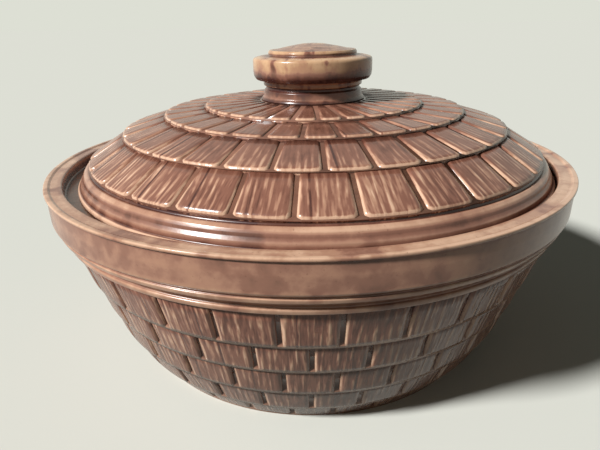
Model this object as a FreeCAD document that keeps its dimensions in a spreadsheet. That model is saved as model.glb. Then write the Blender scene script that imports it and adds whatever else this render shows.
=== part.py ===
"""Stoneware bean pot: a round bowl with a lift-off lid and a knob.

Units are millimetres, +Z is up, and the origin is the centre of the pot's
base. Each piece is a PartDesign body. Rims, beads, hollows and the knob are
turned from sketched outlines. The overlapping shingles are built course by
course: a course is a prism with one side for each shingle, and a slanted cut,
repeated round it by a polar pattern, makes its flat shingles. Each course
stands proud of the one below and is turned by half a shingle from it. The
lid's shingles also have a joint cut between each two of them. The sheet
"Sizes" holds the driving dimensions, and every outline point is a formula
over them, written to the same sheet and bound to its sketch.
"""
import FreeCAD, Part
import itertools
import os

import Sketcher

os.makedirs("parts", exist_ok=True)
doc = FreeCAD.newDocument("BeanPot")

# ---------------------------------------------------------------- the sheet
SIZES = {
    # the pot's rim, with the gallery that the lid sits in
    "rim_height": 86.7,
    "lip_radius": 118.0,
    "bore_radius": 110.8,
    "ledge_drop": 5.3,
    "ledge_radius": 103.8,
    "lip_bead": 1.4,
    # the plain band under the lip, and the two beads under it
    "band_radius": 117.2,
    "band_drop": 12.1,
    "bead_width": 2.8,
    "bead_relief": 1.2,
    "groove_width": 2.6,
    # the pot's courses of shingles: how far each stands proud of the one below
    # and reaches up behind the one above, and each one's lower edge
    "pot_shingles": 32,
    "pot_turn": -83.6,
    "pot_step": 1.1,
    "pot_lap": 1.0,
    "shingle_top": 64.8,
    "shingle_top_radius": 111.3,
    "pot_edge_radius_1": 106.6,
    "pot_edge_height_1": 48.4,
    "pot_edge_radius_2": 101.8,
    "pot_edge_height_2": 34.9,
    "pot_edge_radius_3": 97.0,
    "pot_edge_height_3": 22.3,
    "pot_edge_radius_4": 90.4,
    "pot_edge_height_4": 10.0,
    "pot_edge_radius_5": 83.2,
    "pot_edge_height_5": 0.0,
    # the base and the wall
    "recess_radius": 74.2,
    "recess": 1.5,
    "wall": 6.6,
    "floor": 7.5,
    "floor_radius": 77.0,
    # the lid's flange, turned about the lid's own axis
    "lid_shift": 2.7,
    "flange_radius": 107.7,
    "flange_bead": 1.4,
    "flange_seat": 10.7,
    "lid_groove": 1.4,
    "lid_bead_radius": 103.8,
    "lid_bead_height": 89.2,
    # the lid's courses of shingles, and its crown
    "lid_shingles": 31,
    "lid_turn": -87.9,
    "lid_step": 1.4,
    "lid_lap": 1.5,
    "joint_width": 1.2,
    "joint_depth": 0.8,
    "lid_edge_radius_1": 50.4,
    "lid_edge_height_1": 112.4,
    "lid_edge_radius_2": 68.7,
    "lid_edge_height_2": 109.7,
    "lid_edge_radius_3": 87.4,
    "lid_edge_height_3": 103.0,
    "lid_edge_radius_4": 102.7,
    "lid_edge_height_4": 90.5,
    "crown_height": 113.6,
    "lid_wall": 6.2,
    # the knob, with its heights above the crown
    "knob_radius": 27.2,
    "knob_height": 24.1,
    "knob_foot_radius": 24.8,
    "knob_foot_height": 3.6,
    "knob_neck_radius": 21.1,
    "knob_grip_foot": 7.7,
    "knob_grip_top": 18.6,
    "knob_grip_round": 0.8,
    "knob_button_radius": 19.6,
    "knob_button_edge": 21.3,
    # how far a cut goes past what it takes away
    "overrun": 1.0,
}
POT_COURSES = 5
LID_COURSES = 4

sheet = doc.addObject("Spreadsheet::Sheet", "Sizes")
sheet_rows = itertools.count(1)
outline_lengths = {}


def add_cell(alias, content):
    """Put a named size or formula on the sheet's next row."""
    line = next(sheet_rows)
    sheet.set(f"A{line}", alias)
    sheet.set(f"B{line}", content)
    sheet.setAlias(f"B{line}", alias)


def cell(alias):
    """A number from the sheet."""
    return float(sheet.get(alias))


for alias, size in SIZES.items():
    add_cell(alias, str(size))


# ------------------------------------------------------- formulas on the sheet
def plan_outline(name, points, angle="0"):
    """Put a closed outline of (radius, height) formulas on the sheet.

    It lies in the plane through the axis at this angle to +X.
    """
    outline_lengths[name] = len(points)
    add_cell(name + "_angle", "=" + angle)
    for place, (radius, height) in enumerate(points):
        add_cell(f"{name}_radius_at_{place}", "=" + radius)
        add_cell(f"{name}_height_at_{place}", "=" + height)


def plan_course(piece, course, foot, edge, top):
    """Put one course of shingles on the sheet.

    Its prism stands at the height foot. Edge and top are the (radius, height)
    of the shingles' corners at the lower edge and at the top, and what lies
    outside the line between the two is cut away.
    """
    name = f"{piece}_course_{course}"
    half_shingle = f"180 / {piece}_shingles"
    add_cell(name + "_angle", f"={piece}_turn + {(course + 1) % 2} * {half_shingle}")
    add_cell(name + "_foot", "=" + foot)
    add_cell(name + "_rise", f"={top[1]} - ({foot})")
    add_cell(name + "_reach", f"=max({edge[0]}; {top[0]})")
    add_cell(name + "_cut_width", f"=2 * ({name}_reach + overrun) * tan({half_shingle})")
    # a flat side is nearest the axis at its middle
    edge_middle = (f"({edge[0]}) * cos({half_shingle})", edge[1])
    top_middle = (f"({top[0]}) * cos({half_shingle})", top[1])
    outside = f"{name}_reach + overrun"
    above = f"{top[1]} + overrun"
    outline = [edge_middle, top_middle, (top_middle[0], above), (outside, above), (outside, edge[1])]
    plan_outline(name + "_cut", outline, f"{name}_angle + {half_shingle}")


def plan_joint(course, inner_end, edge, top):
    """Put a slot on the sheet that parts two shingles of the lid, out past their edge."""
    outside = f"{edge[0]} + overrun"
    above = f"{top[1]} + overrun"
    plan_outline(f"lid_course_{course}_joint", [
        (inner_end, f"{top[1]} - joint_depth"),
        (outside, f"{edge[1]} - joint_depth"),
        (outside, above),
        (inner_end, above),
    ], f"lid_course_{course}_angle")


# ------------------------------------------------------------------ features
def origin_feature(body, role):
    """The body's own origin plane or axis with this role."""
    return next(item for item in body.Origin.OriginFeatures if item.Role == role)


def new_body(name):
    """An empty body whose label is the piece's name."""
    body = doc.addObject("PartDesign::Body", name)
    body.Label = name
    return body


def draw_outline(body, name):
    """Sketch an outline, with every point bound to its cells."""
    sketch = body.newObject("Sketcher::SketchObject", name + "_outline")
    sketch.AttachmentSupport = (origin_feature(body, "XZ_Plane"), [""])
    sketch.MapMode = "FlatFace"
    turning = FreeCAD.Rotation(FreeCAD.Vector(0, 1, 0), cell(name + "_angle"))
    sketch.AttachmentOffset = FreeCAD.Placement(FreeCAD.Vector(0, 0, 0), turning)
    spots = []
    for place in range(outline_lengths[name]):
        radius = cell(f"{name}_radius_at_{place}")
        height = cell(f"{name}_height_at_{place}")
        spots.append(FreeCAD.Vector(radius, height, 0))
    following = spots[1:] + spots[:1]
    for start, end in zip(spots, following):
        sketch.addGeometry(Part.LineSegment(start, end), False)
    for line in range(len(spots)):
        next_line = (line + 1) % len(spots)
        sketch.addConstraint(Sketcher.Constraint("Coincident", line, 2, next_line, 1))
    for line, spot in enumerate(spots):
        for kind, size, coordinate in (("DistanceX", spot.x, "radius"), ("DistanceY", spot.y, "height")):
            index = sketch.addConstraint(Sketcher.Constraint(kind, -1, 1, line, 1, size))
            sketch.setExpression(f"Constraints[{index}]", f"Sizes.{name}_{coordinate}_at_{line}")
    return sketch


def turn(body, name, kind="PartDesign::Revolution"):
    """Turn an outline about the axis, or cut it out with kind PartDesign::Groove."""
    turned = body.newObject(kind, name + "_turned")
    turned.Profile = draw_outline(body, name)
    turned.ReferenceAxis = (origin_feature(body, "Z_Axis"), [""])
    turned.Angle = 360.0
    body.Tip = turned


def cut(body, name, width):
    """Cut an outline out, to half the width on each side of its plane."""
    pocket = body.newObject("PartDesign::Pocket", name + "_pocket")
    pocket.Profile = draw_outline(body, name)
    pocket.SideType = "Symmetric"
    pocket.setExpression("Length", "Sizes." + width)
    body.Tip = pocket
    return pocket


def add_course(body, piece, course):
    """Build one course: its prism, and the cuts repeated round it."""
    name = f"{piece}_course_{course}"
    prism = body.newObject("PartDesign::AdditivePrism", name + "_prism")
    prism.AttachmentSupport = (origin_feature(body, "XY_Plane"), [""])
    prism.MapMode = "FlatFace"
    turning = FreeCAD.Rotation(FreeCAD.Vector(0, 0, 1), cell(name + "_angle"))
    prism.AttachmentOffset = FreeCAD.Placement(FreeCAD.Vector(0, 0, 0), turning)
    prism.setExpression("AttachmentOffset.Base.z", f"Sizes.{name}_foot")
    prism.setExpression("Polygon", f"Sizes.{piece}_shingles")
    prism.setExpression("Circumradius", f"Sizes.{name}_reach")
    prism.setExpression("Height", f"Sizes.{name}_rise")
    body.Tip = prism

    cuts = [cut(body, name + "_cut", name + "_cut_width")]
    if name + "_joint" in outline_lengths:
        cuts.append(cut(body, name + "_joint", "joint_width"))
    ring = body.newObject("PartDesign::PolarPattern", name + "_ring")
    ring.Originals = cuts
    ring.Axis = (origin_feature(body, "Z_Axis"), [""])
    ring.Angle = 360.0
    ring.setExpression("Occurrences", f"Sizes.{piece}_shingles")
    body.Tip = ring


# ------------------------------------------------------------------ the pot
def plan_pot_course(course):
    """A course of the pot flares from its proud lower edge up behind what is above."""
    edge = (f"pot_edge_radius_{course}", f"pot_edge_height_{course}")
    if course == 1:
        top = ("shingle_top_radius", "shingle_top")
    else:
        above = course - 1
        flare = f"({edge[0]} - pot_edge_radius_{above}) / ({edge[1]} - pot_edge_height_{above})"
        top = (f"pot_edge_radius_{above} - pot_step + pot_lap * {flare}",
               f"pot_edge_height_{above} + pot_lap")
    plan_course("pot", course, edge[1], edge, top)


def pot_rim():
    """Two beads with a groove over each, the plain band, the lip and the flat rim."""
    band_foot = "rim_height - band_drop"
    return [
        ("0", "shingle_top"),
        # lower bead, wide groove, upper bead, narrow groove
        ("shingle_top_radius + bead_relief / 2", "shingle_top"),
        ("shingle_top_radius + 1.5 * bead_relief", "shingle_top + bead_width / 2"),
        ("shingle_top_radius + bead_relief", "shingle_top + 1.3 * bead_width"),
        ("band_radius - 2 * bead_relief", "shingle_top + bead_width + groove_width"),
        ("band_radius - 1.7 * bead_relief", f"{band_foot} - bead_width / 2"),
        # plain band, lip
        ("band_radius", band_foot),
        ("band_radius", "rim_height - 2.3 * lip_bead"),
        ("lip_radius", "rim_height - 1.7 * lip_bead"),
        ("lip_radius", "rim_height"),
        ("0", "rim_height"),
    ]


def pot_hollow():
    """The gallery for the lid and the inside, about one wall further in than the courses."""
    return [
        ("0", "rim_height + overrun"),
        ("bore_radius", "rim_height + overrun"),
        ("bore_radius", "rim_height - ledge_drop"),
        ("ledge_radius", "rim_height - ledge_drop"),
        ("pot_edge_radius_2 - wall", "pot_edge_height_2"),
        ("floor_radius + wall / 2", "floor"),
        ("0", "floor"),
    ]


def pot_recess():
    """The shallow hollow under the base, which leaves a flat ring to stand on."""
    return [
        ("0", "-overrun"),
        ("recess_radius", "-overrun"),
        ("recess_radius", "recess"),
        ("0", "recess"),
    ]


# ------------------------------------------------------------------ the lid
def plan_lid_course(course):
    """A course of the lid rises inwards from its upright lower edge into what is above."""
    edge = (f"lid_edge_radius_{course}", f"lid_edge_height_{course}")
    foot = edge[1] if course == LID_COURSES else f"{edge[1]} - 2.5 * lid_step"
    if course == 1:
        top = ("knob_foot_radius", "crown_height")
        inner_end = "knob_foot_radius + 2 * joint_width"
    else:
        above = course - 1
        meeting = f"lid_edge_height_{above} - lid_step"
        slope = f"({meeting} - {edge[1]}) / ({edge[0]} - lid_edge_radius_{above})"
        top = (f"lid_edge_radius_{above} - lid_lap", f"{meeting} + lid_lap * {slope}")
        inner_end = top[0]
    plan_course("lid", course, foot, edge, top)
    plan_joint(course, inner_end, edge, top)


def lid_flange():
    """The flange with its two beads, and the groove over it under the lowest course."""
    seat = "rim_height - ledge_drop"
    return [
        ("0", seat),
        ("flange_radius", seat),
        ("flange_radius", f"{seat} + flange_bead"),
        ("flange_radius - 1.1 * flange_bead", f"{seat} + 1.6 * flange_bead"),
        ("flange_radius - 1.4 * flange_bead", f"{seat} + 3.8 * flange_bead"),
        ("lid_bead_radius", "lid_bead_height - flange_bead / 2"),
        ("lid_bead_radius - flange_bead / 2", "lid_bead_height"),
        ("lid_edge_radius_4 - lid_groove", "lid_bead_height"),
        ("lid_edge_radius_4 - lid_groove", "lid_edge_height_4 + lid_step / 5"),
        ("0", "lid_edge_height_4 + lid_step / 5"),
    ]


def lid_hollow():
    """The hollow underside, which follows the dome a wall further in."""
    foot = "rim_height - ledge_drop - overrun"
    ceiling = "crown_height - 1.3 * lid_wall"
    return [
        ("0", foot),
        ("flange_radius - flange_seat", foot),
        ("flange_radius - flange_seat", "lid_edge_height_4 - 0.4 * lid_wall"),
        ("lid_edge_radius_3 - 0.8 * lid_wall", "lid_edge_height_3 - 0.75 * lid_wall"),
        ("lid_edge_radius_1", ceiling),
        ("0", ceiling),
    ]


# ----------------------------------------------------------------- the knob
def knob_profile():
    """From the foot's centre, out and up round the grip to the button's top."""
    grip_foot = "crown_height + knob_grip_foot"
    grip_top = "crown_height + knob_grip_top"
    return [
        ("0", "crown_height"),
        ("knob_foot_radius", "crown_height"),
        ("knob_neck_radius", "crown_height + knob_foot_height"),
        # the grip
        ("knob_neck_radius", grip_foot),
        ("knob_radius - knob_grip_round", grip_foot),
        ("knob_radius", f"{grip_foot} + knob_grip_round"),
        ("knob_radius", f"{grip_top} - knob_grip_round"),
        ("knob_radius - knob_grip_round", grip_top),
        # the button and its low dome
        ("knob_button_radius", grip_top),
        ("knob_button_radius", "crown_height + knob_button_edge"),
        ("knob_button_radius / 2", "crown_height + knob_height"),
        ("0", "crown_height + knob_height"),
    ]


# ------------------------------------------------------- the sheet is filled
plan_outline("pot_rim", pot_rim())
plan_outline("pot_hollow", pot_hollow())
plan_outline("pot_recess", pot_recess())
for course in range(POT_COURSES, 0, -1):
    plan_pot_course(course)
plan_outline("lid_flange", lid_flange())
plan_outline("lid_hollow", lid_hollow())
for course in range(LID_COURSES, 0, -1):
    plan_lid_course(course)
plan_outline("knob_profile", knob_profile())
doc.recompute()

# ---------------------------------------------------------------- the pieces
pot = new_body("pot")
for course in range(POT_COURSES, 0, -1):
    add_course(pot, "pot", course)
turn(pot, "pot_rim")
turn(pot, "pot_hollow", "PartDesign::Groove")
turn(pot, "pot_recess", "PartDesign::Groove")

lid = new_body("lid")
turn(lid, "lid_flange")
for course in range(LID_COURSES, 0, -1):
    add_course(lid, "lid", course)
turn(lid, "lid_hollow", "PartDesign::Groove")

knob = new_body("knob")
turn(knob, "knob_profile")

# the lid rests against one side of the rim, and the knob goes with it
for piece in (lid, knob):
    piece.setExpression("Placement.Base.x", "Sizes.lid_shift")
doc.recompute()

# ------------------------------------------------------------ checks, files
for item in doc.Objects:
    if "Invalid" in item.State or "Error" in item.State:
        raise RuntimeError(f"{item.Name} did not recompute: {item.State}")
for piece in (pot, lid, knob):
    shape = piece.Shape
    if shape.isNull() or not shape.isValid() or len(shape.Solids) != 1:
        raise RuntimeError(f"{piece.Label} is not one valid solid")
    box = shape.BoundBox
    print(f"{piece.Label}: {shape.Volume / 1000:.1f} cm3, {len(shape.Faces)} faces, "
          f"x {box.XMin:.1f}..{box.XMax:.1f}, z {box.ZMin:.1f}..{box.ZMax:.1f}")
    shape.exportStep(f"parts/{piece.Label}.step")
shared = pot.Shape.common(lid.Shape).Volume
print(f"pot and lid share {shared:.4f} mm3")
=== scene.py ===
# %% [markdown]
# # A shingled stoneware bean pot
# The pot, its lid and its knob are three pieces of fired clay under one brown
# glaze. Each is a turned form, and rows of small shingles lie over the wall
# and the dome like tiles on a roof. This lesson turns the plain forms from
# outlines, lays the shingles with Geometry Nodes, and builds one glaze whose
# colour follows how thick it lies. It stands on a packed model of plain
# solids and takes its main sizes from there, so that the two fit together.

# %% The packed model
import math
from types import SimpleNamespace

import bpy
from mathutils import Matrix, Vector


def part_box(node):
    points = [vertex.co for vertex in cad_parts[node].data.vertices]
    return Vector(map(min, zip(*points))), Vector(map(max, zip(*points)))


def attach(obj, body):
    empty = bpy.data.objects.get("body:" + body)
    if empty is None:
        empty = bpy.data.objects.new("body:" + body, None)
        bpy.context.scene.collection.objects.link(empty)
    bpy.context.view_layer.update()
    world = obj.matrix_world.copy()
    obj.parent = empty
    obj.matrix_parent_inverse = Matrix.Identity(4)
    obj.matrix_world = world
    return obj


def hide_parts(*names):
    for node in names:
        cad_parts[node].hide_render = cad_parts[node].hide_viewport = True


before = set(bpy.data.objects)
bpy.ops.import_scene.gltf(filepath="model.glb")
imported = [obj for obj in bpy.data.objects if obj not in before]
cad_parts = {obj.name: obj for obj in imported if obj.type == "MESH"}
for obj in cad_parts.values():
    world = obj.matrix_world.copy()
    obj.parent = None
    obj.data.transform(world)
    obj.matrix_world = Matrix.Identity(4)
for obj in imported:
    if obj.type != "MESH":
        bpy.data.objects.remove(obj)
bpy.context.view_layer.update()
MM = 0.001
_, pot_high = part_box("pot")
lid_low, lid_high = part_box("lid")
_, knob_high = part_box("knob")
LIP_RADIUS = pot_high.x / MM
RIM_HEIGHT = pot_high.z / MM
LID_CENTRE = (lid_low.x + lid_high.x) / 2
LID_SEAT = lid_low.z / MM
CROWN_HEIGHT = lid_high.z / MM
KNOB_TOP = knob_high.z / MM
print(f"{len(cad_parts)} packed nodes; the lip is {LIP_RADIUS:.1f} mm from the pot's axis")
print(f"the lid's axis is {LID_CENTRE / MM:.1f} mm to the right of the pot's")
print(f"heights: rim {RIM_HEIGHT:.1f} mm, crown {CROWN_HEIGHT:.1f} mm, knob {KNOB_TOP:.1f} mm")

# %% [markdown]
# ## Sums on sockets
# A node tree can get long when every Math node is placed by hand. Here one
# small class wraps a socket and gives it Python's operators, so that a rule
# for a shape or a colour reads like the sum that it is. It serves both the
# tree that shapes the shingles and the ones that colour the glaze.


# %% A socket with operators
class Socket:
    """An output of a node tree: a sum with it adds Math nodes."""

    def __init__(self, tree, output):
        self.tree = tree
        self.output = output

    def math(self, operation, *values):
        return self.tree.node("ShaderNodeMath", {"operation": operation}, values)

    def __add__(self, other):
        return self.math("ADD", self, other)

    def __sub__(self, other):
        return self.math("SUBTRACT", self, other)

    def __rsub__(self, other):
        return self.math("SUBTRACT", other, self)

    def __mul__(self, other):
        return self.math("MULTIPLY", self, other)

    def __truediv__(self, other):
        return self.math("DIVIDE", self, other)

    def __pow__(self, other):
        return self.math("POWER", self, other)

    def __abs__(self):
        return self.math("ABSOLUTE", self)

    __radd__ = __add__
    __rmul__ = __mul__

    def sin(self):
        return self.math("SINE", self)

    def cos(self):
        return self.math("COSINE", self)

    def root(self):
        return self.math("SQRT", self)

    def least(self, other):
        return self.math("MINIMUM", self, other)

    def most(self, other):
        return self.math("MAXIMUM", self, other)

    def ramp(self, low, high):
        """0 below low, 1 above high, and a soft rise between them."""
        settings = {"interpolation_type": "SMOOTHSTEP", "clamp": True}
        return self.tree.node("ShaderNodeMapRange", settings, (self, low, high, 0.0, 1.0))


print("a socket knows", ", ".join(name for name, part in vars(Socket).items() if callable(part)))


# %% A tree that makes any node
class Tree:
    """A node tree with one method that makes any node."""

    def __init__(self, node_tree):
        self.node_tree = node_tree

    def node(self, kind, settings=None, inputs=(), out=0):
        """Make a node, set it up, then give its inputs values or links, by place or name."""
        node = self.node_tree.nodes.new(kind)
        for name, value in (settings or {}).items():
            setattr(node, name, value)
        pairs = inputs.items() if isinstance(inputs, dict) else enumerate(inputs)
        for key, value in pairs:
            if isinstance(value, Socket):
                self.node_tree.links.new(value.output, node.inputs[key])
            else:
                node.inputs[key].default_value = value
        return Socket(self, node.outputs[out]) if node.outputs else None

    def vector(self, x, y, z):
        return self.node("ShaderNodeCombineXYZ", None, (x, y, z))

    def parts(self, vector):
        """The three numbers of a vector."""
        first = self.node("ShaderNodeSeparateXYZ", None, (vector,))
        return [Socket(self, output) for output in first.output.node.outputs]


trial = Tree(bpy.data.node_groups.new("trial_sum", "ShaderNodeTree"))
trial_sum = 1 - trial.node("ShaderNodeValue") * 2
trial_end = trial_sum.output.node.operation
print(f"1 - value * 2 took {len(trial.node_tree.nodes)} nodes and ends in {trial_end}")
bpy.data.node_groups.remove(trial.node_tree)

# %% [markdown]
# ## Turned forms
# On the wheel a profile rib gives each piece its outline, so the mesh is made
# the same way: an outline is turned about an upright axis. A Screw modifier
# could do that too, but rings that are written out can also carry a tone. An
# outline names only its corners. Each corner has a radius that rounds it, and
# a tone that says how the glaze lies there: 1 on a raised edge, where it runs
# thin and light, and -1 in a groove, where it pools and goes dark. At some
# corners the tone also paints in light or shade, as their outlines say. The
# tone is kept on the mesh as an attribute. Between two corners with different
# tones it dies away a short way along the stretch, if the stretch is long enough.

# %% Rounding an outline
ARC_STEPS = 4
ARC_SHARE = 0.45


def rounded(corners):
    """Points and tones along an outline, with an arc at each rounded corner.

    An arc takes no more than its share of a stretch, so that two arcs never meet.
    """
    points = []
    for place, (radius, height, fillet, tone) in enumerate(corners):
        here = Vector((radius, height))
        ends = place in (0, len(corners) - 1)
        if ends or fillet == 0:
            points.append((here, tone))
            continue
        before = Vector(corners[place - 1][:2]) - here
        after = Vector(corners[place + 1][:2]) - here
        half_corner = before.angle(after) / 2
        room = ARC_SHARE * min(before.length, after.length)
        reach = min(fillet / math.tan(half_corner), room)
        start = here + before.normalized() * reach
        finish = here + after.normalized() * reach
        for step in range(ARC_STEPS + 1):
            share = step / ARC_STEPS
            first = start.lerp(here, share)
            second = here.lerp(finish, share)
            points.append((first.lerp(second, share), tone))
    return points


trial_outline = [(0.0, 0.0, 0.0, 0.0), (10.0, 0.0, 2.0, 1.0), (10.0, 10.0, 0.0, 0.0)]
trial_points = rounded(trial_outline)
print(f"an outline of {len(trial_outline)} corners has {len(trial_points)} points once rounded")

# %% Tones that fade
TONE_REACH = 1.3
LONG_STRETCH = 3 * TONE_REACH


def with_fading_tones(points):
    """Add points on each long stretch, where the tone of its two ends has died away."""
    faded = [points[0]]
    for (start, tone), (finish, next_tone) in zip(points, points[1:]):
        stretch = finish - start
        if tone != next_tone and stretch.length > LONG_STRETCH:
            along = stretch.normalized() * TONE_REACH
            faded += [(start + along, 0.0), (finish - along, 0.0)]
        faded.append((finish, next_tone))
    return faded


print(f"and {len(with_fading_tones(trial_points))} points once its tones fade")

# %% Turning it
TURNED_SIDES = 192
ON_THE_AXIS = 1e-6


def put_in_scene(name, data):
    """A new object in the scene for a mesh, a lamp or a camera."""
    new_object = bpy.data.objects.new(name, data)
    bpy.context.scene.collection.objects.link(new_object)
    return new_object


def turned(name, corners, centre=0.0):
    """Turn a closed outline, in millimetres, about an upright axis at x = centre."""
    outline = with_fading_tones(rounded(corners))
    vertices, faces, tones = [], [], []
    rings = []
    for point, tone in outline:
        radius, height = point * MM
        sides = 1 if radius < ON_THE_AXIS else TURNED_SIDES
        rings.append([len(vertices) + side for side in range(sides)])
        for side in range(sides):
            angle = 2 * math.pi * side / TURNED_SIDES
            vertices.append((centre + radius * math.cos(angle), radius * math.sin(angle), height))
            tones.append(tone)
    for lower, upper in zip(rings, rings[1:]):
        for side in range(TURNED_SIDES):
            following = (side + 1) % TURNED_SIDES
            corners_of_face = [lower[side % len(lower)], lower[following % len(lower)],
                               upper[following % len(upper)], upper[side % len(upper)]]
            faces.append(list(dict.fromkeys(corners_of_face)))
    mesh = bpy.data.meshes.new(name)
    mesh.from_pydata(vertices, [], faces)
    mesh.attributes.new("tone", "FLOAT", "POINT").data.foreach_set("value", tones)
    mesh.shade_smooth()
    print(f"{name}: {len(outline)} rings, {len(faces)} faces")
    return put_in_scene(name, mesh)


point_gap = 2 * math.pi * LIP_RADIUS / TURNED_SIDES
print(f"a ring has {TURNED_SIDES} points, which are {point_gap:.1f} mm apart at the lip")

# %% [markdown]
# ## Where the shingles lie
# The wall has five courses of 32 shingles and the dome four of 31. They are
# not tiles, but one relief that a mould presses into the clay. Each could be
# placed by eye, but the courses follow the form, so a course needs only two
# lines: its shingles' lower edge, and where their tops go in behind the
# course above. Each line is a radius and a height in millimetres.

# %% The courses
POT_SHINGLES, LID_SHINGLES = 32, 31
POT_STEP, POT_LAP = 1.1, 1.0
LID_STEP, LID_LAP = 1.4, 1.5
POT_SHINGLE_TOP = (111.3, 64.8)
POT_EDGES = [(106.6, 48.4), (101.8, 34.9), (97.0, 21.8), (90.4, 9.2), (83.8, 0.5)]
LID_SHINGLE_TOP = (24.8, CROWN_HEIGHT)
LID_EDGES = [(50.4, 112.6), (68.7, 109.7), (87.4, 103.0), (102.7, 92.2)]


def courses(first_top, edges, step, lap, falls):
    """Pairs of (edge, top) from the highest course down, in millimetres.

    A top starts one step from the edge above it, and goes on behind that edge by the lap.
    The step goes inwards on an upright wall, or downwards where the courses fall.
    """
    pairs = [(Vector(edges[0]), Vector(first_top))]
    for above, edge in zip(edges, edges[1:]):
        foot = Vector(edge)
        meeting = Vector(above) - Vector((0, step) if falls else (step, 0))
        pairs.append((foot, meeting + (meeting - foot).normalized() * lap))
    return pairs


pot_courses = courses(POT_SHINGLE_TOP, POT_EDGES, POT_STEP, POT_LAP, falls=False)
lid_courses = courses(LID_SHINGLE_TOP, LID_EDGES, LID_STEP, LID_LAP, falls=True)
print(len(pot_courses) * POT_SHINGLES + len(lid_courses) * LID_SHINGLES, "shingles")

# %% [markdown]
# ## The clay between the shingles
# The joints are narrow grooves, where the glaze pools. They could be cut into
# the wall one by one, but here the wall itself is set back, and each shingle
# stands on it with a gap to its neighbours. So the wall's outline follows the
# courses, one joint's depth further in. A wall shingle has a lip along its
# lower edge, and there the wall comes out until it is almost flush.

# %% An outline under the courses
POT_JOINT_DEPTH, CROWN_JOINT_DEPTH, LID_JOINT_DEPTH = 1.1, 0.35, 0.8
POT_JOINT_TONE, LID_JOINT_TONE = -1.0, -0.3
POT_LIP, LID_LIP = 1.3, 0.0
LIP_DEPTH = 0.35
LIP_SHOULDER = 1.7
LIP_TOP_TONE, LIP_EDGE_TONE = 0.1, 0.3


def joint_floor(pairs, first_depth, joint_depth, lip, tone):
    """Outline corners of the clay under the shingles, from the top down.

    It starts at the first depth and goes on at the joint's depth. A shoulder above each
    lip brings it out to the lip's own depth.
    """
    corners = []
    depth_at_top = first_depth
    for edge, top in pairs:
        slope = (top - edge).normalized()
        inwards = Vector((-slope.y, slope.x))
        shoulder = edge + slope * lip * LIP_SHOULDER
        stops = [(top, depth_at_top, tone), (shoulder, joint_depth, tone)]
        depth_at_top = joint_depth
        if lip:
            stops += [(edge + slope * lip, LIP_DEPTH, LIP_TOP_TONE), (edge, LIP_DEPTH, LIP_EDGE_TONE)]
        for place, depth, tone_there in stops:
            point = place + inwards * depth
            corners.append((point.x, point.y, 0.0, tone_there))
    return corners


wall_under = joint_floor(pot_courses, POT_JOINT_DEPTH, POT_JOINT_DEPTH, POT_LIP, POT_JOINT_TONE)
dome_under = joint_floor(lid_courses, CROWN_JOINT_DEPTH, LID_JOINT_DEPTH, LID_LIP, LID_JOINT_TONE)
print(f"{len(wall_under)} corners under the wall's courses, {len(dome_under)} under the dome's")

# %% [markdown]
# ## The pot
# The body is a wide bowl with a heavy rim. It could be a solid that is hollowed
# out afterwards, but a closed outline gives the wall its thickness straight
# away. It goes up the inside from the middle of the floor, over the gallery
# that the lid sits in, over the flat rim, and down past the plain band, the
# grooves and beads and the shingled wall to the ring of the foot.

# %% The pot's outline
POT_INSIDE = [
    (0.0, 7.5, 0.0, 0.0),
    (77.0, 7.5, 12.0, 0.0),
    (81.6, 10.8, 14.0, 0.0),
    (95.2, 34.9, 60.0, 0.0),
    # The dark tones on the gallery and the rim's inner wall are painted shade, in the recess under the lid.
    (103.8, 81.4, 0.8, -1.1),
    (110.8, 81.4, 0.9, -1.2),
    (110.8, RIM_HEIGHT - 3.0, 0.0, -1.1),
]
POT_RIM = [
    # The light tones across the flat rim are partly thin glaze and partly a painted sheen.
    (110.8, RIM_HEIGHT - 0.4, 0.9, 0.5),
    (113.0, RIM_HEIGHT - 0.4, 0.0, 0.75),
    (115.4, RIM_HEIGHT - 0.5, 0.8, 0.6),
    (116.3, RIM_HEIGHT, 0.6, 0.8),
    (LIP_RADIUS, RIM_HEIGHT, 0.8, 1.0),
    (LIP_RADIUS, RIM_HEIGHT - 1.1, 0.5, 0.4),
    (117.0, RIM_HEIGHT - 1.8, 0.3, -0.4),
    (117.1, RIM_HEIGHT - 2.6, 0.4, -0.1),
    (117.2, RIM_HEIGHT - 6.0, 2.0, 0.15),
    (117.1, 74.4, 1.0, 0.4),
]
POT_BEADS = [
    (115.3, 72.7, 0.5, -0.2),
    (116.0, 72.2, 0.4, 0.6),
    (115.5, 70.7, 0.4, 0.5),
    (114.5, 70.3, 0.3, 0.1),
    # The wide groove's tones are raised to paint light into the shade under the bead above.
    (113.3, 69.4, 0.5, 0.1),
    (112.3, 67.8, 0.5, 0.0),
    (113.3, 67.1, 0.6, 0.6),
    (112.8, 65.3, 0.6, 0.4),
]
POT_FOOT = [
    (83.4, 0.0, 0.6, 0.3),
    (74.2, 0.0, 0.5, 0.4),
    (74.2, 1.5, 0.4, -0.6),
    (0.0, 1.5, 0.0, 0.0),
]
pot_form = turned("bean_pot_wall", POT_INSIDE + POT_RIM + POT_BEADS + wall_under + POT_FOOT)

# %% [markdown]
# ## The lid
# The lid is a low dome that lies loose in the gallery, so its axis is a
# little to one side of the pot's. A Solidify modifier could thicken a plain
# dome, but the underside has a shape of its own, so the outline draws both
# sides. It goes along the hollow underside, round the flange with its fine
# rolls and grooves, and up the dome to the flat crown that carries the knob.

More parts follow.
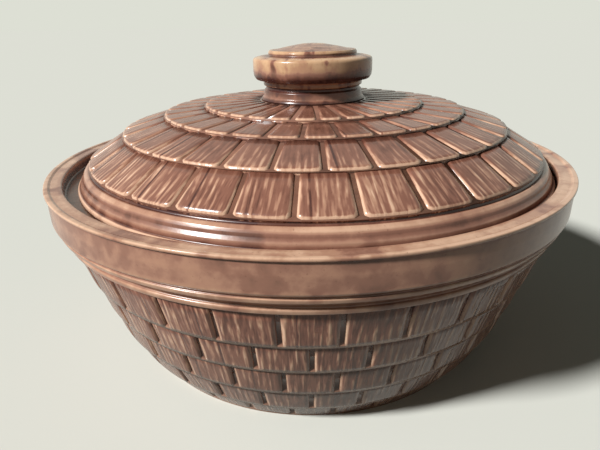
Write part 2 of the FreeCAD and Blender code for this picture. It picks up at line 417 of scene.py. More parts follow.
# %% The lid's outline
LID_UNDERSIDE = [
    (0.0, 105.5, 0.0, 0.0),
    (50.4, 105.5, 30.0, 0.0),
    (82.4, 98.4, 25.0, 0.0),
    (97.0, 88.0, 8.0, 0.0),
    (97.0, LID_SEAT, 0.8, 0.5),
]
LID_FLANGE = [
    (107.7, LID_SEAT, 0.6, 0.6),
    (107.7, 83.2, 0.8, 1.0),
    # The low tones on the flange's face are pooled glaze and painted shade.
    (106.6, 83.8, 0.7, -0.9),
    (106.2, 85.6, 1.5, -0.1),
    (105.2, 87.0, 1.2, -0.7),
    (104.9, 88.0, 0.6, -0.5),
    (104.3, 89.0, 1.0, 0.5),
    (103.2, 89.9, 0.8, 0.4),
    (102.0, 89.8, 0.4, -1.0),
    (101.2, 90.8, 0.0, -1.2),
]
LID_CROWN = [
    (LID_SHINGLE_TOP[0] - 0.4, CROWN_HEIGHT - 0.2, 0.3, -0.8),
    (0.0, CROWN_HEIGHT - 0.2, 0.0, -0.8),
]
lid_outline = LID_UNDERSIDE + LID_FLANGE + dome_under[::-1] + LID_CROWN
lid_form = turned("bean_pot_lid", lid_outline, LID_CENTRE)

# %% [markdown]
# ## The knob
# The knob is thrown apart and joined to the crown with slip, which leaves a
# dark ring round its foot. Its rolls are too fine for a block-out under a
# Subdivision Surface modifier, so it is turned like the rest. Its outline
# goes from the foot up a short stem with a thin ring, out under the grip, and
# over it to the low dome of its button.

# %% The knob's outline
KNOB_OUTLINE = [
    (0.0, CROWN_HEIGHT, 0.0, 0.0),
    (24.0, CROWN_HEIGHT, 0.3, -1.0),
    (23.6, CROWN_HEIGHT + 0.8, 0.5, -0.9),
    (22.8, CROWN_HEIGHT + 1.7, 0.8, -0.3),
    (22.5, CROWN_HEIGHT + 4.2, 0.8, -0.8),
    (21.6, CROWN_HEIGHT + 5.0, 0.4, -1.0),
    (21.6, CROWN_HEIGHT + 6.0, 0.4, -1.0),
    (22.7, CROWN_HEIGHT + 6.4, 0.5, 0.6),
    (22.7, CROWN_HEIGHT + 8.2, 0.5, 0.3),
    (23.9, CROWN_HEIGHT + 8.7, 0.4, -1.0),
    (26.0, CROWN_HEIGHT + 9.0, 0.8, -1.0),
    (26.9, CROWN_HEIGHT + 10.4, 1.2, -1.0),
    (27.2, CROWN_HEIGHT + 12.4, 0.0, -0.35),
    (27.2, CROWN_HEIGHT + 13.8, 0.0, 0.5),
    (27.2, CROWN_HEIGHT + 18.1, 3.0, 1.0),
    (24.4, CROWN_HEIGHT + 18.8, 1.5, 0.8),
    (21.0, CROWN_HEIGHT + 19.1, 0.5, -0.9),
    (20.0, CROWN_HEIGHT + 19.4, 0.3, -0.5),
    (20.2, CROWN_HEIGHT + 20.4, 0.5, 0.9),
    (19.5, CROWN_HEIGHT + 21.4, 0.6, 1.0),
    (18.0, CROWN_HEIGHT + 21.3, 0.4, -0.5),
    (11.5, CROWN_HEIGHT + 22.7, 12.0, 0.4),
    (5.0, CROWN_HEIGHT + 23.8, 12.0, 0.5),
    (0.0, KNOB_TOP, 0.0, 0.5),
]
knob_form = turned("bean_pot_knob", KNOB_OUTLINE, LID_CENTRE)

# %% [markdown]
# ## Laying the shingles
# Copies placed one by one would be hard to change later. Every shingle of a
# course has the same shape, so Geometry Nodes make one and stand it round
# the axis on as many points as the course has places. It starts as a block
# of small faces whose points move by a rule: across and along the slope,
# with rounded lower corners and an edge that curves down into the joint.
# Distances from its edge are kept as attributes for the glaze. The mould was
# cut by hand, so a slow wave about the axis then makes some shingles wider
# than others, and fine noise roughens their faces.

# %% The tree that lays one course
COURSE_INPUTS = {
    "Geometry": "NodeSocketGeometry",
    "Shingles": "NodeSocketInt",
    "Turn": "NodeSocketFloat",
    "Centre": "NodeSocketFloat",
    "Edge radius": "NodeSocketFloat",
    "Edge height": "NodeSocketFloat",
    "Top radius": "NodeSocketFloat",
    "Top height": "NodeSocketFloat",
    "Thickness": "NodeSocketFloat",
    "Joint width": "NodeSocketFloat",
    "Corner": "NodeSocketFloat",
    "Edge roll": "NodeSocketFloat",
    "Unevenness": "NodeSocketFloat",
    "Seed": "NodeSocketInt",
    "Glaze": "NodeSocketMaterial",
}


def new_course_tree():
    """An empty tree and its named inputs."""
    node_tree = bpy.data.node_groups.new("lay_a_course", "GeometryNodeTree")
    interface = node_tree.interface
    for name, kind in COURSE_INPUTS.items():
        interface.new_socket(name, in_out="INPUT", socket_type=kind)
    interface.new_socket("Geometry", in_out="OUTPUT", socket_type="NodeSocketGeometry")
    group_input = node_tree.nodes.new("NodeGroupInput")
    tree = Tree(node_tree)
    return tree, {output.name: Socket(tree, output) for output in group_input.outputs if output.name}


print(f"{len(COURSE_INPUTS)} inputs say how a course is laid")

# %% One shingle of the course
BLOCK_ACROSS, BLOCK_ALONG = 11, 7
ROLL_SINK = 0.8
UNDERSIDE = -1.0 * MM


def keep(tree, geometry, name, value, domain="POINT"):
    """Keep a value on the mesh or its instances as a named attribute."""
    settings = {"data_type": "FLOAT", "domain": domain}
    inputs = {"Geometry": geometry, "Name": name, "Value": value}
    return tree.node("GeometryNodeStoreNamedAttribute", settings, inputs)


def one_shingle(tree, sizes):
    """The shingle that stands at angle 0: its mesh, in place on the slope.

    From_edge is how far in a point is from the sides and the lower edge, and it is below
    0 on the underside.
    """
    block = tree.node("GeometryNodeMeshCube", None,
                      {"Size": (2.0, 2.0, 2.0), "Vertices X": BLOCK_ACROSS, "Vertices Y": BLOCK_ALONG})
    side, up, depth = tree.parts(tree.node("GeometryNodeInputPosition"))
    # the faces get smaller towards the sides and the lower edge, where the shingle curves
    share_across = (side * (math.pi / 2)).sin()
    share_along = 1 - ((up + 1) * (math.pi / 4)).cos()
    rise_r = sizes["Top radius"] - sizes["Edge radius"]
    rise_z = sizes["Top height"] - sizes["Edge height"]
    length = (rise_r * rise_r + rise_z * rise_z).root()
    radius = sizes["Edge radius"] + rise_r * share_along
    half_width = radius * math.pi / sizes["Shingles"] - sizes["Joint width"] / 2
    across = share_across * half_width
    # the lower corners are rounded: there the edge lifts along an arc
    into_corner = (abs(across) - (half_width - sizes["Corner"])).most(0.0)
    lift = sizes["Corner"] - (sizes["Corner"] ** 2 - into_corner * into_corner).most(0.0).root()
    along = share_along * length + lift * (1 - share_along)
    from_edge = (half_width - abs(across)).least(share_along * length)
    # the face rolls down into the joint by most of the thickness
    curl = 1 - (from_edge / sizes["Edge roll"]).least(1.0)
    sink = (1 - (1 - curl * curl).most(0.0).root()) * sizes["Thickness"] * ROLL_SINK
    is_face = (depth + 1) / 2
    below = sink * is_face + sizes["Thickness"] * (1 - is_face)
    out_r, out_z = rise_z / length, 0 - rise_r / length
    final_radius = sizes["Edge radius"] + rise_r / length * along - out_r * below
    height = sizes["Edge height"] + rise_z / length * along - out_z * below
    angle = across / radius
    position = tree.vector(final_radius * angle.cos(), final_radius * angle.sin(), height)
    kept = {"shingle": 1.0, "across": across, "along": along,
            "from_edge": from_edge * is_face + (1 - is_face) * UNDERSIDE,
            "from_top": (1 - share_along) * length}
    shingle = block
    for name, value in kept.items():
        shingle = keep(tree, shingle, name, value)
    return tree.node("GeometryNodeSetPosition", None, {"Geometry": shingle, "Position": position})


print(f"the face of a shingle has {(BLOCK_ACROSS - 1) * (BLOCK_ALONG - 1)} small faces")

# %% Uneven widths and faces
WIDTH_WAVES = 3.4
WIDTH_WAVE_ANGLE = math.radians(0.8)
WIDTH_SEED = 3.7
ROUGH_SCALE = 90.0
ROUGH_SEED = 1.3


def wave_widths(tree, geometry, sizes):
    """Turn each point about the axis by a slow wave, so that the joints lie unevenly."""
    x, y, z = tree.parts(tree.node("GeometryNodeInputPosition"))
    distance = (x * x + y * y).root()
    circle = tree.vector(x / distance * WIDTH_WAVES, y / distance * WIDTH_WAVES, 0.0)
    wave = tree.node("ShaderNodeTexNoise", {"noise_dimensions": "4D"},
                     {"Vector": circle, "W": sizes["Seed"] * WIDTH_SEED, "Scale": 1.0, "Detail": 0.0})
    turn = (wave - 0.5) * (2 * WIDTH_WAVE_ANGLE)
    turned_position = tree.vector(x * turn.cos() - y * turn.sin(), x * turn.sin() + y * turn.cos(), z)
    return tree.node("GeometryNodeSetPosition", None, {"Geometry": geometry, "Position": turned_position})


def roughen(tree, geometry, sizes):
    """Sink the faces a little here and there, as in clay pressed by hand."""
    position = tree.node("GeometryNodeInputPosition")
    fine = tree.node("ShaderNodeTexNoise", {"noise_dimensions": "4D"},
                     {"Vector": position, "W": sizes["Seed"] * ROUGH_SEED, "Scale": ROUGH_SCALE,
                      "Detail": 1.0})
    normal = tree.node("GeometryNodeInputNormal")
    shift = tree.node("ShaderNodeVectorMath", {"operation": "SCALE"},
                      {0: normal, "Scale": (fine - 1.0) * sizes["Unevenness"]})
    return tree.node("GeometryNodeSetPosition", None, {"Geometry": geometry, "Offset": shift})


print(f"a joint wanders by {math.degrees(WIDTH_WAVE_ANGLE):.1f} degrees about the axis at most")


# %% All of the course
def build_course_tree():
    """The whole tree: a shingle on each place, joined to the form that comes in."""
    tree, sizes = new_course_tree()
    places = tree.node("GeometryNodePoints", None, {"Count": sizes["Shingles"]})
    place = tree.node("GeometryNodeInputIndex")
    angle = sizes["Turn"] + (place + 0.5) * (2 * math.pi) / sizes["Shingles"]
    rows = tree.node("GeometryNodeInstanceOnPoints", None,
                     {"Points": places, "Instance": one_shingle(tree, sizes),
                      "Rotation": tree.vector(0.0, 0.0, angle)})
    chance = tree.node("FunctionNodeRandomValue", {"data_type": "FLOAT"}, {"Seed": sizes["Seed"]}, out=1)
    rows = keep(tree, rows, "chance", chance, "INSTANCE")
    laid = tree.node("GeometryNodeRealizeInstances", None, {"Geometry": rows})
    laid = roughen(tree, wave_widths(tree, laid, sizes), sizes)
    laid = tree.node("GeometryNodeSetPosition", None,
                     {"Geometry": laid, "Offset": tree.vector(sizes["Centre"], 0.0, 0.0)})
    both = tree.node("GeometryNodeJoinGeometry", None, {"Geometry": laid})
    tree.node_tree.links.new(sizes["Geometry"].output, both.output.node.inputs["Geometry"])
    smooth = tree.node("GeometryNodeSetShadeSmooth", None, {"Geometry": both})
    whole = tree.node("GeometryNodeRealizeInstances", None, {"Geometry": smooth})
    glazed = tree.node("GeometryNodeSetMaterial", None, {"Geometry": whole, "Material": sizes["Glaze"]})
    tree.node("NodeGroupOutput", None, {"Geometry": glazed})
    return tree.node_tree


course_tree = build_course_tree()
print(f"the course tree has {len(course_tree.nodes)} nodes")

# %% [markdown]
# ## The glaze
# A brown stoneware glaze flows in the kiln. It leaves the raised edges thin,
# where the pale clay shows through as tan, and pools dark in the grooves. One
# could paint that by hand, but here one number, how thin the glaze lies,
# picks the colour from a ramp that runs from near black over brown to tan.
# On turned parts that number is mostly the outline's tone. Where it lies thin
# it can also turn ochre, and low on the wall it turns greyer, a painted reflection.

# %% Colours of the glaze


def paint(red, green, blue):
    """A colour as it looks on a screen, 0 to 255, turned into linear light."""
    linear = [((value / 255 + 0.055) / 1.055) ** 2.4 for value in (red, green, blue)]
    return (*linear, 1.0)


POOLED = paint(64, 33, 30)
DARK_BROWN = paint(84, 49, 38)
BROWN = paint(125, 82, 66)
LIGHT_BROWN = paint(164, 120, 98)
TAN = paint(207, 168, 142)
REFLECTION_GREY_BROWN = paint(112, 89, 74)
PINK_TAN = paint(164, 126, 106)
OCHRE = paint(188, 152, 108)
THIN_STOPS = [(-0.05, POOLED), (0.12, DARK_BROWN), (0.4, BROWN), (0.66, LIGHT_BROWN), (0.98, TAN)]
print("the red of the ramp, in linear light:", [round(colour[0], 3) for _, colour in THIN_STOPS])


# %% Noise, attributes and blends
def noise(tree, vector, scale, detail, roughness, offset):
    """A cloudy pattern from 0 to 1."""
    return tree.node("ShaderNodeTexNoise", {"noise_dimensions": "4D"},
                     {"Vector": vector, "W": offset, "Scale": scale, "Detail": detail,
                      "Roughness": roughness})


def attribute(tree, name):
    """A number kept on the mesh."""
    return tree.node("ShaderNodeAttribute", {"attribute_name": name}, out=2)


def blend(tree, factor, first, second):
    """A colour between two, by the factor."""
    return tree.node("ShaderNodeMix", {"data_type": "RGBA"}, {0: factor, 6: first, 7: second}, out=2)


def colour_at(tree, value, stops):
    """The colour of a value on a ramp of (value, colour) stops."""
    colour = stops[0][1]
    for (low, _), (high, next_colour) in zip(stops, stops[1:]):
        colour = blend(tree, value.ramp(low, high), colour, next_colour)
    return colour


print(f"the ramp goes through {len(THIN_STOPS)} colours")

# %% [markdown]
# ## Marks on a shingle
# The mould for the shingles was combed, so fine lines run along each of them,
# and no two shingles have the same. They could be cut as geometry, but that
# takes faces many times smaller, so they are a pattern that colours the
# glaze and raises it a little. Just inside its edge a shingle has a light
# line, where the glaze broke over the roll, and outside that it is dark. The
# light line is stronger on the side that faces the lamp, a painted highlight,
# and the dark is stronger on the other side, painted shade.
# About a third of the shingles have a split beside their middle.

# %% Lines combed along a shingle
COMB_PITCH = 2.5 * MM
COMB_WANDER, COMB_SHIFT = 9.0, 60.0
COMB_RIDGE, COMB_PATCHES = (-0.7, 1.0), (0.36, 0.64)
COMB_LEAST, COMB_SCRATCHED = 0.5, 0.7
SCRATCHES, SCRATCH_SHARE = (0.35, 0.65), 0.35


def drawn_out(tree, stretch, spread, scale, detail, roughness, seed):
    """Noise that is drawn out along a shingle and differs from one to the next."""
    chance = attribute(tree, "chance")
    place = tree.vector(attribute(tree, "across"), attribute(tree, "along") * stretch, chance * spread)
    return noise(tree, place, scale, detail, roughness, chance * seed)


def grain(tree):
    """Lines combed along a shingle, each shingle with its own: 0 dark, 1 light."""
    wobble = drawn_out(tree, stretch=0.12, spread=0.9, scale=260.0, detail=1.0, roughness=0.5, seed=31.0)
    strength = drawn_out(tree, stretch=0.25, spread=0.5, scale=420.0, detail=2.0, roughness=0.6, seed=23.0)
    fine = drawn_out(tree, stretch=0.14, spread=0.7, scale=1100.0, detail=1.0, roughness=0.5, seed=17.0)
    turns = attribute(tree, "across") * (2 * math.pi / COMB_PITCH)
    phase = turns + wobble * COMB_WANDER + attribute(tree, "chance") * COMB_SHIFT
    comb = phase.sin().ramp(*COMB_RIDGE) * strength.ramp(*COMB_PATCHES)
    return comb * (COMB_LEAST + fine * COMB_SCRATCHED) + fine.ramp(*SCRATCHES) * SCRATCH_SHARE


shingle_width = 2 * math.pi * POT_EDGES[0][0] / POT_SHINGLES
print(f"a shingle {shingle_width:.1f} mm wide has about {shingle_width * MM / COMB_PITCH:.0f} lines")

# %% The edge of a shingle
EDGE_WANDER = 0.9 * MM
LIGHT_WIDTH = 0.7 * MM
LIGHT_STARTS, LIGHT_ENDS = (0.0, 0.45 * MM), (LIGHT_WIDTH, 2.2 * LIGHT_WIDTH)
MIDDLE = (-1.0 * MM, 1.0 * MM)
LOWER_EDGE = (1.0 * MM, 1.8 * MM)
UPPER_PART, UPPER_FADE = (9.0 * MM, 17.0 * MM), 0.85
CROWN_FADE = 0.55
DARK_ENDS = (-0.2 * MM, 0.45 * MM)
UNDER = (-0.7 * MM, -0.1 * MM)


def broken_edge(tree, wander, high_up, lay):
    """The light line just inside a shingle's edge, the dark outside it, and its underside; the light leans to
    the left side as a painted highlight, the dark to the right as painted shade.
    """
    raw_edge = attribute(tree, "from_edge")
    along = attribute(tree, "along")
    from_edge = raw_edge + (wander - 0.5) * EDGE_WANDER
    light = from_edge.ramp(*LIGHT_STARTS) * (1 - from_edge.ramp(*LIGHT_ENDS))
    # Painted highlight: the light line is kept mostly to the left side, which faces the lamp.
    lit_side = 1 - attribute(tree, "across").ramp(*MIDDLE) * lay.one_sided
    lower_edge = 1 - along.ramp(*LOWER_EDGE)
    sides = lit_side * (1 - high_up * CROWN_FADE) * (1 - lower_edge)
    light = light * (sides + lay.lips * lower_edge)
    light = light * (1 - along.ramp(*UPPER_PART) * UPPER_FADE)
    # Painted shade: the dark beside a joint is stronger on the right side, away from the lamp.
    dark = (1 - from_edge.ramp(*DARK_ENDS)) * (1 - lit_side * lay.one_sided)
    under = 1 - raw_edge.ramp(*UNDER)
    return light, dark, under


print(f"the light line is {LIGHT_WIDTH / MM:.1f} mm wide and wanders over {EDGE_WANDER / MM:.1f} mm")

# %% The split in a shingle
SPLIT_CHANCE = (0.66, 0.67)
SPLIT_OFFSET, SPLIT_SCATTER = 5.0 * MM, 12.0
SPLIT_WIDTH = (0.2 * MM, 0.6 * MM)


def split_line(tree):
    """A scratch along about a third of the shingles, off the middle."""
    chance = attribute(tree, "chance")
    offset = (chance * SPLIT_SCATTER).sin() * SPLIT_OFFSET
    distance = abs(attribute(tree, "across") - offset)
    return (1 - distance.ramp(*SPLIT_WIDTH)) * chance.ramp(*SPLIT_CHANCE)


print(f"about {1 - SPLIT_CHANCE[0]:.0%} of the shingles have a split")

# %% [markdown]
# ## How thin the glaze lies
# The same glaze looks different on each piece: combed and broken on the wall,
# smooth and cloudy on the knob. So each piece has its own lay. Warmth makes
# the glaze lighter all over. Streaks colour the combed lines, and ridges
# raise them. A lay can keep the light line to a shingle's left side, which
# faces the lamp, as a painted highlight, and the dark beside a joint to its
# right as painted shade. Joints and lips say how dark that is and how light
# the lower edge. Crown darkens the top of the dome with painted shade.
# Clouds and patches vary the colour, drips draw the patches out downwards,
# and ochre tints thin places.

# %% How it lies on each piece
WALL_LAY = SimpleNamespace(
    warmth=0.07, streaks=0.6, ridges=0.6, one_sided=0.7, lips=1.0, joints=0.4, crown=0.0,
    clouds=0.5, cloud_scale=34.0, patches=0.7, drips=0.0, ochre=0.15, seed=1.0)
DOME_LAY = SimpleNamespace(
    warmth=0.15, streaks=0.5, ridges=0.2, one_sided=0.15, lips=0.9, joints=0.12, crown=0.08,
    clouds=0.55, cloud_scale=34.0, patches=0.5, drips=0.0, ochre=0.1, seed=21.0)
GRIP_LAY = SimpleNamespace(
    warmth=0.05, streaks=0.0, ridges=0.0, one_sided=0.0, lips=0.0, joints=0.0, crown=0.0,
    clouds=0.9, cloud_scale=85.0, patches=1.0, drips=0.4, ochre=0.6, seed=41.0)
print(f"a cloud is about {1 / WALL_LAY.cloud_scale / MM:.0f} mm across on the wall")

# %% Patterns all over a piece
NEAR_CROWN = (101 * MM, 109 * MM)
BLOTCHES, BLOTCH_SIZE, BLOTCH_SHARE = (0.52, 0.66), 1.8, 0.5
PATCH_SCALE, FINE_SCALE, SPECK_SCALE = 160.0, 620.0, 1500.0


def patterns(tree, lay):
    """The noise that varies the glaze everywhere, and the painted shade near the crown."""
    place = tree.node("ShaderNodeTexCoord", out=3)
    x, y, z = tree.parts(place)
    runny = tree.vector(x, y, z * (1 - lay.drips))
    blot_scale = lay.cloud_scale * BLOTCH_SIZE
    slow = noise(tree, place, lay.cloud_scale, detail=2.0, roughness=0.55, offset=lay.seed)
    patchy = noise(tree, runny, PATCH_SCALE, detail=3.0, roughness=0.6, offset=lay.seed + 5.0)
    fine = noise(tree, place, FINE_SCALE, detail=3.0, roughness=0.65, offset=lay.seed + 9.0)
    blots = noise(tree, runny, blot_scale, detail=2.0, roughness=0.6, offset=lay.seed + 7.0)
    # Near the crown the glaze is darkened by the crown number: painted shade over the top of the dome.
    high_up = z.ramp(*NEAR_CROWN)
    return SimpleNamespace(
        place=place, height=z, high_up=high_up, shade=high_up * lay.crown,
        slow=slow, patchy=patchy, fine=fine, lines=grain(tree),
        blotches=blots.ramp(*BLOTCHES) * lay.patches * BLOTCH_SHARE)


print(f"the dome darkens from {NEAR_CROWN[0] / MM:.0f} mm up")

# %% On plain clay
PLAIN_LEVEL = 0.45
TONE_STRENGTH, TONE_EVEN, TONE_BROKEN = 0.42, 0.65, 0.7


def plain_clay(tree, lay, over):
    """How thin the glaze lies away from the shingles: mostly the outline's tone."""
    varied = (over.slow - 0.5) * lay.clouds + (over.patchy - 0.5) * lay.patches - over.blotches - over.shade
    tone = attribute(tree, "tone") * TONE_STRENGTH * (TONE_EVEN + over.fine * TONE_BROKEN)
    return PLAIN_LEVEL + lay.warmth + tone + varied


print(f"on level clay the wall's glaze starts at {PLAIN_LEVEL + WALL_LAY.warmth:.2f} on the ramp")

# %% On a shingle
FACE_LEVEL, FACE_WARMTH, FACE_PATCHES = 0.36, 0.6, 0.3
LINES_MIDDLE = 0.3
WANDER_PATCHY, WANDER_FINE = 0.6, 0.4
FAR_UP, FAR_UP_FADE, HIGH_UP_FADE = (12.0 * MM, 22.0 * MM), 0.8, 0.6
POOL_AND_SHADE_REACH, POOL_AND_SHADE_DEPTH = (1.5 * MM, 6.0 * MM), 0.13
LINE_LEAST, LINE_BROKEN = 0.35, 0.4
UNDER_DEPTH, SPLIT_DEPTH = 0.35, 0.35


def shingle_clay(tree, lay, over):
    """How thin the glaze lies on a shingle: combed lines, a light edge and dark joints, leaning to one side
    as painted highlight and shade.
    """
    wander = over.patchy * WANDER_PATCHY + over.fine * WANDER_FINE
    light, dark, under = broken_edge(tree, wander, over.high_up, lay)
    far_up = attribute(tree, "along").ramp(*FAR_UP)
    strokes = (over.lines - LINES_MIDDLE) * lay.streaks
    strokes = strokes * (1 - far_up * FAR_UP_FADE) * (1 - over.high_up * HIGH_UP_FADE)
    varied = (over.slow - 0.5) * lay.clouds + (over.patchy - 0.5) * FACE_PATCHES - over.shade
    face = FACE_LEVEL + lay.warmth * FACE_WARMTH + strokes + varied
    # Just below the course above the shingle is darker: pooled glaze, and painted shade under the lap.
    pooled_and_shaded = (1 - attribute(tree, "from_top").ramp(*POOL_AND_SHADE_REACH)) * POOL_AND_SHADE_DEPTH
    lit = light * (LINE_LEAST + over.fine * LINE_BROKEN)
    edged = face - pooled_and_shaded + lit - dark * lay.joints - under * UNDER_DEPTH
    return edged - split_line(tree) * SPLIT_DEPTH


print(f"a shingle's glaze pools over {POOL_AND_SHADE_REACH[1] / MM:.0f} mm below the course above")

# %% [markdown]
# ## The glaze itself
# How thin the glaze lies now picks its colour. Iron in the clay burns through
# as small specks. A clear coat over a dull clay would be another way, but the
# clay is bare nowhere, so one glossy surface is enough. It is smooth, a
# little duller where it lies thick, and the combed lines and the clouds
# raise it only slightly.

# %% Its colour
PINKISH, REFLECTION_GREY_SHARE, SPECKLED = 0.35, 0.3, 0.45
THIN_PLACES = (0.45, 0.9)
NEAR_FOOT = (20 * MM, 60 * MM)
SPECKS = (0.68, 0.76)


def glaze_colour(tree, lay, over, thin, shingle):
    """The colour for how thin the glaze lies, with ochre, a painted reflection low on the wall, and iron
    specks.
    """
    colour = colour_at(tree, thin, THIN_STOPS)
    pinkish = (1 - shingle) * (1 - abs(attribute(tree, "tone"))) * PINKISH
    colour = blend(tree, pinkish, colour, PINK_TAN)
    colour = blend(tree, thin.ramp(*THIN_PLACES) * lay.ochre, colour, OCHRE)
    # Low on the wall the glaze turns greyer: a painted reflection.
    reflection_grey = (1 - over.height.ramp(*NEAR_FOOT)) * REFLECTION_GREY_SHARE
    colour = blend(tree, reflection_grey, colour, REFLECTION_GREY_BROWN)
    iron = noise(tree, over.place, SPECK_SCALE, detail=1.0, roughness=0.5, offset=lay.seed + 2.0)
    return blend(tree, iron.ramp(*SPECKS) * SPECKLED, colour, DARK_BROWN)


print(f"ash dulls the lowest {NEAR_FOOT[1] / MM:.0f} mm of the wall")

# %% Its surface
DULLNESS, DULLER_THICK, DULLER_PATCHES = 0.17, 0.05, 0.1
BUMP_STRENGTH, BUMP_DEPTH = 0.5, 0.4 * MM
FINE_BUMP, PATCHY_BUMP, SLOW_BUMP = 0.08, 0.25, 0.4
GLAZE_IOR = 1.43


def new_material(name):
    """A material and its tree, still empty."""
    material = bpy.data.materials.new(name)
    material.use_nodes = True
    material.node_tree.nodes.clear()
    return material, Tree(material.node_tree)


def glaze(name, lay):
    """The glaze as it lies on one piece."""
    material, tree = new_material(name)
    over = patterns(tree, lay)
    shingle = attribute(tree, "shingle")
    thin = plain_clay(tree, lay, over) * (1 - shingle) + shingle_clay(tree, lay, over) * shingle
    colour = glaze_colour(tree, lay, over, thin, shingle)
    height = over.lines * shingle * lay.ridges + over.fine * FINE_BUMP + over.patchy * PATCHY_BUMP
    height = height + over.slow * SLOW_BUMP
    bump = tree.node("ShaderNodeBump", None,
                     {"Strength": BUMP_STRENGTH, "Distance": BUMP_DEPTH, "Height": height})
    dullness = DULLNESS + (1 - thin.ramp(0.0, 1.0)) * DULLER_THICK + over.patchy * DULLER_PATCHES
    surface = tree.node("ShaderNodeBsdfPrincipled", None,
                        {"Base Color": colour, "Roughness": dullness, "Normal": bump, "IOR": GLAZE_IOR})
    tree.node("ShaderNodeOutputMaterial", None, {"Surface": surface})
    return material


pot_glaze = glaze("wall_glaze", WALL_LAY)
lid_glaze = glaze("dome_glaze", DOME_LAY)
knob_glaze = glaze("grip_glaze", GRIP_LAY)
print("three glazes, each with", len(pot_glaze.node_tree.nodes), "nodes")

# %% [markdown]
# ## Putting the courses on
# Each course is one modifier on the turned form, so the stack reads like the
# wall: the lowest course first, and the next one lapped over it. Alternate
# courses are turned by half a shingle. The result is then made one plain
# mesh, which stands for the packed piece and rides with its body.

# %% Course by course
SHARED_SIZES = {"Edge roll": 0.9 * MM, "Unevenness": 0.25 * MM, "Joint width": 1.0 * MM}
POT_SIZES = {"Shingles": POT_SHINGLES, "Turn": math.radians(-83.6), "Centre": 0.0,
             "Thickness": 2.2 * MM, "Corner": 1.3 * MM, "Glaze": pot_glaze, **SHARED_SIZES}
LID_SIZES = {"Shingles": LID_SHINGLES, "Turn": math.radians(-87.9), "Centre": LID_CENTRE,
             "Thickness": 2.4 * MM, "Corner": 2.2 * MM, "Glaze": lid_glaze, **SHARED_SIZES}
SEED_STEP = 11


def lay_course(form, place, pair, sizes_of_all):
    """Add the modifier that lays one course on a form."""
    edge, top = pair
    count = sizes_of_all["Shingles"]
    half_shingle = math.pi / count
    sizes = {**sizes_of_all,
             "Turn": sizes_of_all["Turn"] + (place % 2) * half_shingle,
             "Seed": SEED_STEP * (place + 1) + count,
             "Edge radius": edge.x * MM, "Edge height": edge.y * MM,
             "Top radius": top.x * MM, "Top height": top.y * MM}
    modifier = form.modifiers.new(f"course_{place + 1}", "NODES")
    modifier.node_group = course_tree
    for item in course_tree.interface.items_tree:
        if item.in_out == "INPUT" and item.name in sizes:
            modifier[item.identifier] = sizes[item.name]


stacks = [(pot_form, pot_courses, POT_SIZES), (lid_form, lid_courses, LID_SIZES)]
for form, form_courses, form_sizes in stacks:
    for place in reversed(range(len(form_courses))):
        lay_course(form, place, form_courses[place], form_sizes)
    print(f"{form.name} has {len(form.modifiers)} courses")


# %% One plain mesh for each piece
def finished(form, body, node):
    """Make the form and its courses one plain mesh that stands for a packed piece."""
    if form.modifiers:
        depsgraph = bpy.context.evaluated_depsgraph_get()
        ready = form.evaluated_get(depsgraph)
        form.data = bpy.data.meshes.new_from_object(ready, preserve_all_data_layers=True, depsgraph=depsgraph)
        form.modifiers.clear()
    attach(form, body)
    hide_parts(node)
    triangles = sum(len(face.vertices) - 2 for face in form.data.polygons)
    print(f"{form.name} stands for {node}: {triangles} triangles")


knob_form.data.materials.append(knob_glaze)
finished(pot_form, "pot", "pot")
finished(lid_form, "lid", "lid")
finished(knob_form, "lid", "knob")

# %% [markdown]
# ## A table to stand on
# The table is one plain pale sheet that runs to the horizon. A pale sheet
# throws much light back up at the pot. So a Light Path node gives it two
# colours: its own where it is seen, straight or in a reflection, and a
# dimmer one for the light that it throws on, so that the glaze stays rich.

# %% The table
TABLE_HALF = 15.0
TABLE_ROUGHNESS = 0.9
TABLE_SEEN, TABLE_BOUNCE = paint(208, 209, 200), paint(104, 102, 97)


def seen_directly(tree):
    """1 for what the camera sees, itself or in a reflection, and 0 for light on its way."""
    camera_ray = tree.node("ShaderNodeLightPath", out=0)
    outputs = camera_ray.output.node.outputs
    glossy_ray = Socket(tree, outputs["Is Glossy Ray"])
    through_ray = Socket(tree, outputs["Is Transmission Ray"])
    return camera_ray.most(glossy_ray).most(through_ray)


table_mesh = bpy.data.meshes.new("table_top")
table_corners = [(-TABLE_HALF, -TABLE_HALF, 0), (TABLE_HALF, -TABLE_HALF, 0),
                 (TABLE_HALF, TABLE_HALF, 0), (-TABLE_HALF, TABLE_HALF, 0)]
table_mesh.from_pydata(table_corners, [], [(0, 1, 2, 3)])
table_top = put_in_scene("table_top", table_mesh)

chalk, sheet = new_material("pale_table")
sheet_colour = blend(sheet, seen_directly(sheet), TABLE_BOUNCE, TABLE_SEEN)
sheet_surface = sheet.node("ShaderNodeBsdfPrincipled", None,
                           {"Base Color": sheet_colour, "Roughness": TABLE_ROUGHNESS,
                            "Specular IOR Level": 0.0})
sheet.node("ShaderNodeOutputMaterial", None, {"Surface": sheet_surface})
table_mesh.materials.append(chalk)
print(f"the table is {2 * TABLE_HALF:.0f} m wide")

# %% [markdown]
# ## Surroundings and one lamp
# The surroundings have two strengths for the same reason: the full one is
# seen, and the weak one fills the shadows. The light itself could come from
# an area lamp close by, but that leaves a bright pool on the table. A sun
# with a wide disc lights the table evenly. It shines from the left, above
# the rim, shapes the wall and the courses, and gives a soft-edged shadow.

# %% The surroundings
ROOM_COLOUR = paint(221, 223, 212)
BACKGROUND_LEVEL, FILL_LEVEL = 1.0, 0.1
bpy.context.scene.view_settings.view_transform = "Standard"
world = bpy.data.worlds.new("pale_room")
bpy.context.scene.world = world
world.use_nodes = True
world.node_tree.nodes.clear()
room = Tree(world.node_tree)
seen = seen_directly(room)
strength = seen * BACKGROUND_LEVEL + (1 - seen) * FILL_LEVEL
background = room.node("ShaderNodeBackground", None, {"Color": ROOM_COLOUR, "Strength": strength})
room.node("ShaderNodeOutputWorld", None, {"Surface": background})
print(f"the room is seen at {BACKGROUND_LEVEL} and lights the pot at {FILL_LEVEL}")

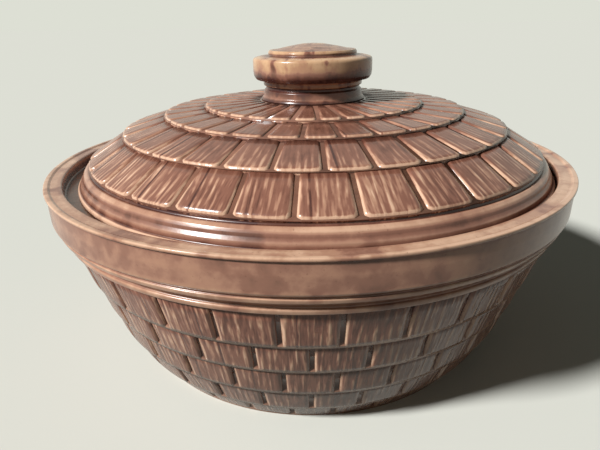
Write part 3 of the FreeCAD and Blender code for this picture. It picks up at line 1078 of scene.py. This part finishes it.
# %% The lamp
LAMP_BEARING, LAMP_RISE = math.radians(-59), math.radians(38)
LAMP_ENERGY, LAMP_DISC = 5.5, math.radians(8)
LAMP_DISTANCE = 3.0
lamp_data = bpy.data.lights.new("broad_lamp", "SUN")
lamp_data.energy = LAMP_ENERGY
lamp_data.angle = LAMP_DISC
away = Vector((math.sin(LAMP_BEARING) * math.cos(LAMP_RISE), -math.cos(LAMP_BEARING) * math.cos(LAMP_RISE),
               math.sin(LAMP_RISE)))
lamp_place = Vector((0.0, 0.0, RIM_HEIGHT * MM)) + away * LAMP_DISTANCE
lamp = put_in_scene("broad_lamp", lamp_data)
lamp.matrix_world = Matrix.Translation(lamp_place) @ away.to_track_quat("Z", "Y").to_matrix().to_4x4()
print(f"the lamp stands {math.degrees(LAMP_RISE):.0f} degrees above the rim, at the left")

# %% [markdown]
# ## The camera
# The camera stands close in front of the pot and a little higher than its
# knob, so the rim looks wide and the foot narrow. It could be aimed with a
# Track To constraint, but three angles in radians say more: how far it looks
# down, how far it turns aside, and how far it leans.

# %% The camera
CAMERA_PLACE = Vector((0.002, -0.2425, 0.1472))
CAMERA_PITCH, CAMERA_YAW, CAMERA_ROLL = 0.38536, -0.02684, -0.01978
LENS, SENSOR = 30.28, 36.0
NEAREST_SEEN = 0.01
sight = Vector((math.sin(CAMERA_YAW) * math.cos(CAMERA_PITCH), math.cos(CAMERA_YAW) * math.cos(CAMERA_PITCH),
                -math.sin(CAMERA_PITCH)))
level_right = Vector((math.cos(CAMERA_YAW), -math.sin(CAMERA_YAW), 0.0))
upright = level_right.cross(sight)
right = level_right * math.cos(CAMERA_ROLL) + upright * math.sin(CAMERA_ROLL)
up = upright * math.cos(CAMERA_ROLL) - level_right * math.sin(CAMERA_ROLL)
camera_data = bpy.data.cameras.new("camera")
camera_data.lens = LENS
camera_data.sensor_width = SENSOR
camera_data.sensor_fit = "HORIZONTAL"
camera_data.clip_start = NEAREST_SEEN
camera = put_in_scene("camera", camera_data)
camera.matrix_world = Matrix.Translation(CAMERA_PLACE) @ Matrix((right, up, -sight)).transposed().to_4x4()
bpy.context.scene.camera = camera
print(f"the camera looks down by {math.degrees(CAMERA_PITCH):.1f} degrees")

# %% [markdown]
